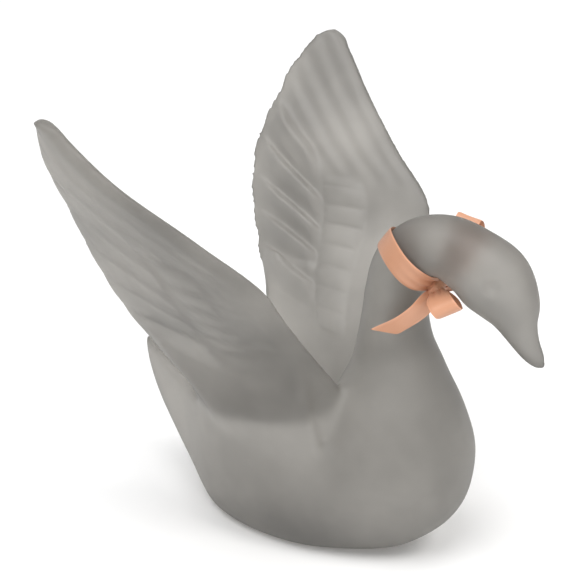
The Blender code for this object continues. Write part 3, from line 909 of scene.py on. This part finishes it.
def collar_rings(settings, steps=180, across_steps=14):
    """Band round the neck: straight across its width, gathered towards the knot."""
    angle = np.linspace(COLLAR_OPENING, 2.0 * np.pi - COLLAR_OPENING, steps) - np.pi
    share = COLLAR_SHARE + COLLAR_LEAN * np.sin(angle)
    throat = throat_share(angle)
    quarter = np.pi / 2.0
    above = neck_point(COLLAR_SHARE + COLLAR_REACH, quarter)
    along = unit(above - neck_point(COLLAR_SHARE - COLLAR_REACH, quarter))
    width = settings.width * (1.0 - COLLAR_PINCH * throat ** COLLAR_PINCH_POWER)
    gap = COLLAR_GAP + (THROAT_GAP - COLLAR_GAP) * throat
    thickness = settings.thickness * IN_MILLIMETRES
    over = np.linspace(-1.0, 1.0, across_steps + 1)
    base = neck_outside(share, angle, gap + thickness / 2.0)
    normal = unit(neck_outside(share, angle, gap + 1.0) - base)
    crease = throat[:, None] ** CREASE_POWER * CREASE_HEIGHT * np.cos(over[None, :] * CREASE_WAVE)
    flat = base[:, None] + along * (over[None, :] * width[:, None] / 2.0)[..., None]
    flat = flat + normal[:, None] * crease[..., None]
    return satin_sections(flat, normal, over, settings.thickness)


def knot_rings(steps=40, sides=64):
    """The knot: a short roll of gathered satin, thinner at its ends and ridged along its length."""
    middle = place(*KNOT)
    lie = unit(direction(*KNOT_LIE))
    left = np.array([1.0, 0.0, 0.0])
    out = np.cross(left, lie)
    around = np.linspace(0.0, 2.0 * np.pi, sides, endpoint=False)[None, :]
    along = np.linspace(-1.0, 1.0, steps)[:, None]
    ridges = sum((
        height * np.cos(turns * around + twist * along) for height, turns, twist in KNOT_RIDGES
    ), 1.0)
    rounded = np.sqrt(np.clip(KNOT_END - along ** 8, 0.0, 1.0))
    swell = KNOT_DEPTH / 2.0 * (1.0 - KNOT_TAPER * along ** 4) * rounded * ridges
    reach = swell * np.cos(around) * IN_METRES
    side = swell * np.sin(around) * KNOT_BREADTH * IN_METRES
    length = np.broadcast_to(along * KNOT_LENGTH / 2.0 * IN_METRES, reach.shape)
    return middle + out * reach[..., None] + left * side[..., None] + lie * length[..., None]


def lay_out_weave(made, parts):
    """UV map of the ribbon: u runs along the satin and v across it, both in metres."""
    mesh = made.data
    u = np.concatenate([part[0] for part in parts])
    v = np.concatenate([part[1] for part in parts])
    corner = np.empty(len(mesh.loops), dtype=np.int32)
    mesh.loops.foreach_get("vertex_index", corner)
    layer = mesh.uv_layers.new(name=WEAVE_LAYER)
    spread = np.stack([u[corner], v[corner]], axis=-1).astype(np.float32)
    layer.data.foreach_set("uv", spread.ravel())


def weave_of(rings, width):
    """Distance along the middle of the rings and place across them, with the two poles."""
    middle = rings.mean(axis=1)
    run = np.concatenate([[0.0], np.cumsum(np.linalg.norm(np.diff(middle, axis=0), axis=1))])
    sides = rings.shape[1]
    half = sides // 2
    there = np.linspace(-0.5, 0.5, half + 1)
    back = np.linspace(0.5, -0.5, half + 1)[1:-1]
    over = np.concatenate([there, back])
    u = np.repeat(run, sides)
    v = np.tile(over * width, len(run))
    return np.concatenate([u, [run[0], run[-1]]]), np.concatenate([v, [0.0, 0.0]])


def satin(settings):
    """Satin: fine ribs across the ribbon, a soft sheen, and selvedges lightened by a painted
    highlight.
    """
    material = bpy.data.materials.new("peach satin")
    material.use_nodes = True
    tree = material.node_tree
    shader = tree.nodes["Principled BSDF"]
    feed(shader, {
        "Metallic": 0.0,
        "Roughness": 0.36,
        "Anisotropic": 0.4,
        "Sheen Weight": 0.1,
        "Sheen Roughness": 0.4,
    })
    weave = tree.nodes.new("ShaderNodeUVMap")
    weave.uv_map = WEAVE_LAYER
    split = tree.nodes.new("ShaderNodeSeparateXYZ")
    ribs = tree.nodes.new("ShaderNodeMath")
    ribs.operation = "MULTIPLY"
    ribs.inputs[1].default_value = 2.0 * np.pi / RIB_SPACING
    wave = tree.nodes.new("ShaderNodeMath")
    wave.operation = "SINE"
    edge = tree.nodes.new("ShaderNodeMath")
    edge.operation = "ABSOLUTE"
    # Both selvedges are painted lighter than the rest of the width: a painted highlight along the
    # edges.
    selvedge_highlight = tree.nodes.new("ShaderNodeMapRange")
    feed(selvedge_highlight, {
        "From Min": settings.width * SELVEDGE_HIGHLIGHT_SPAN[0],
        "From Max": settings.width * SELVEDGE_HIGHLIGHT_SPAN[1],
        "To Min": 0.0,
        "To Max": 1.0,
    })
    colour_and_highlight = tree.nodes.new("ShaderNodeMix")
    colour_and_highlight.data_type = "RGBA"
    plain = tuple(settings.colour) + (1.0,)
    highlighted = tuple(min(1.0, SELVEDGE_HIGHLIGHT * part) for part in plain)
    feed(colour_and_highlight, {"A": plain, "B": highlighted})
    bump = tree.nodes.new("ShaderNodeBump")
    feed(bump, {"Strength": RIB_STRENGTH, "Distance": RIB_DEPTH})
    join(tree, (
        (weave, "UV", split, "Vector"),
        (split, "X", ribs, 0),
        (ribs, "Value", wave, 0),
        (split, "Y", edge, 0),
        (edge, "Value", selvedge_highlight, "Value"),
        (selvedge_highlight, "Result", colour_and_highlight, "Factor"),
        (colour_and_highlight, "Result", shader, "Base Color"),
        (wave, "Value", bump, "Height"),
        (bump, "Normal", shader, "Normal"),
    ))
    return material


class OBJECT_OT_swan_glass(bpy.types.Operator):
    """Build the swan's carved frosted glass"""
    bl_idname = "object.swan_glass"
    bl_label = "Frosted glass"

    def execute(self, context):
        settings = context.scene.swan_glass
        swan = fused_skin(settings)
        swan.data.materials.clear()
        swan.data.materials.append(frosted_glass(settings))
        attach(swan, "root")
        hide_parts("swan")
        return {"FINISHED"}


class OBJECT_OT_swan_ribbon(bpy.types.Operator):
    """Build the satin ribbon: band, knot, two loops and a tail"""
    bl_idname = "object.swan_ribbon"
    bl_label = "Satin ribbon"

    def execute(self, context):
        settings = context.scene.swan_ribbon
        stretches = [
            collar_rings(settings),
            strap_rings(near_loop_route(), settings),
            strap_rings(FAR_LOOP, settings),
            strap_rings(TAIL, settings, TAIL_SLANT),
            knot_rings(),
        ]
        ribbon = object_of("swan_ribbon", [tube_shell(rings) for rings in stretches])
        lay_out_weave(ribbon, [weave_of(rings, settings.width) for rings in stretches])
        ribbon.data.shade_smooth()
        ribbon.data.set_sharp_from_angle(angle=np.radians(SHARP_ANGLE))
        ribbon.data.materials.append(satin(settings))
        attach(ribbon, "root")
        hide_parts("ribbon")
        return {"FINISHED"}


def aim(made, target):
    turn = (Vector(target) - made.location).to_track_quat("-Z", "Y")
    made.rotation_euler = turn.to_euler()


def soft_light(name, where, target, size, power, colour):
    data = bpy.data.lights.new(name, "AREA")
    data.shape = "DISK"
    data.size = size
    data.energy = power
    data.color = colour
    made = bpy.data.objects.new(name, data)
    made.location = where
    aim(made, target)
    bpy.context.scene.collection.objects.link(made)


class OBJECT_OT_swan_stage(bpy.types.Operator):
    """Build the pale floor, the soft lights and the camera"""
    bl_idname = "object.swan_stage"
    bl_label = "Stage"

    def execute(self, context):
        settings = context.scene.swan_stage
        mesh = bpy.data.meshes.new("floor")
        corners = [
            (-FLOOR_REACH, -FLOOR_REACH, 0.0),
            (FLOOR_REACH, -FLOOR_REACH, 0.0),
            (FLOOR_REACH, FLOOR_REACH, 0.0),
            (-FLOOR_REACH, FLOOR_REACH, 0.0),
        ]
        mesh.from_pydata(corners, [], [(0, 1, 2, 3)])
        floor = bpy.data.objects.new("floor", mesh)
        context.scene.collection.objects.link(floor)
        paint = bpy.data.materials.new("pale floor")
        paint.use_nodes = True
        feed(paint.node_tree.nodes["Principled BSDF"], {
            "Base Color": tuple(settings.floor_colour) + (1.0,),
            "Roughness": 0.9,
            "Specular IOR Level": 0.1,
        })
        mesh.materials.append(paint)
        world = bpy.data.worlds.new("pale surroundings")
        world.use_nodes = True
        feed(world.node_tree.nodes["Background"], {
            "Color": (1.0, 1.0, 1.0, 1.0),
            "Strength": settings.sky,
        })
        context.scene.world = world
        context.scene.view_settings.view_transform = "Standard"
        soft_light("key", KEY_PLACE, LIGHTS_AIM, KEY_SIZE, settings.key_power, KEY_COLOUR)
        soft_light("fill", FILL_PLACE, LIGHTS_AIM, FILL_SIZE, settings.fill_power, FILL_COLOUR)
        wide = bpy.data.lights.new("sun", "SUN")
        wide.energy = settings.sun
        wide.angle = np.radians(SUN_ANGLE)
        high = bpy.data.objects.new("sun", wide)
        high.location = SUN_PLACE
        aim(high, (0.0, 0.0, 0.0))
        context.scene.collection.objects.link(high)
        lens = bpy.data.cameras.new("camera")
        lens.lens = CAMERA_LENS
        lens.sensor_width = FRAME_WIDTH
        lens.clip_start = NEAREST_SEEN
        camera = bpy.data.objects.new("camera", lens)
        camera.location = CAMERA_PLACE
        aim(camera, CAMERA_AIM)
        context.scene.collection.objects.link(camera)
        context.scene.camera = camera
        return {"FINISHED"}


class VIEW3D_PT_glass_swan(bpy.types.Panel):
    """Sizes, colours and build buttons of the glass swan"""
    bl_label = "Glass swan"
    bl_idname = "VIEW3D_PT_glass_swan"
    bl_space_type = "VIEW_3D"
    bl_region_type = "UI"
    bl_category = "Swan"

    def draw(self, context):
        layout = self.layout
        scene = context.scene
        for operator, group in (
            ("object.swan_glass", scene.swan_glass),
            ("object.swan_ribbon", scene.swan_ribbon),
            ("object.swan_stage", scene.swan_stage),
        ):
            box = layout.box()
            for name in group.__annotations__:
                box.prop(group, name)
            box.operator(operator)


CLASSES = (
    SwanGlassSettings,
    SwanRibbonSettings,
    SwanStageSettings,
    OBJECT_OT_swan_glass,
    OBJECT_OT_swan_ribbon,
    OBJECT_OT_swan_stage,
    VIEW3D_PT_glass_swan,
)


def register():
    for made in CLASSES:
        bpy.utils.register_class(made)
    bpy.types.Scene.swan_glass = bpy.props.PointerProperty(type=SwanGlassSettings)
    bpy.types.Scene.swan_ribbon = bpy.props.PointerProperty(type=SwanRibbonSettings)
    bpy.types.Scene.swan_stage = bpy.props.PointerProperty(type=SwanStageSettings)


def unregister():
    del bpy.types.Scene.swan_stage
    del bpy.types.Scene.swan_ribbon
    del bpy.types.Scene.swan_glass
    for made in reversed(CLASSES):
        bpy.utils.unregister_class(made)


def main():
    register()
    bpy.ops.object.swan_stage()
    bpy.ops.object.swan_glass()
    bpy.ops.object.swan_ribbon()


if __name__ == "__main__":
    main()
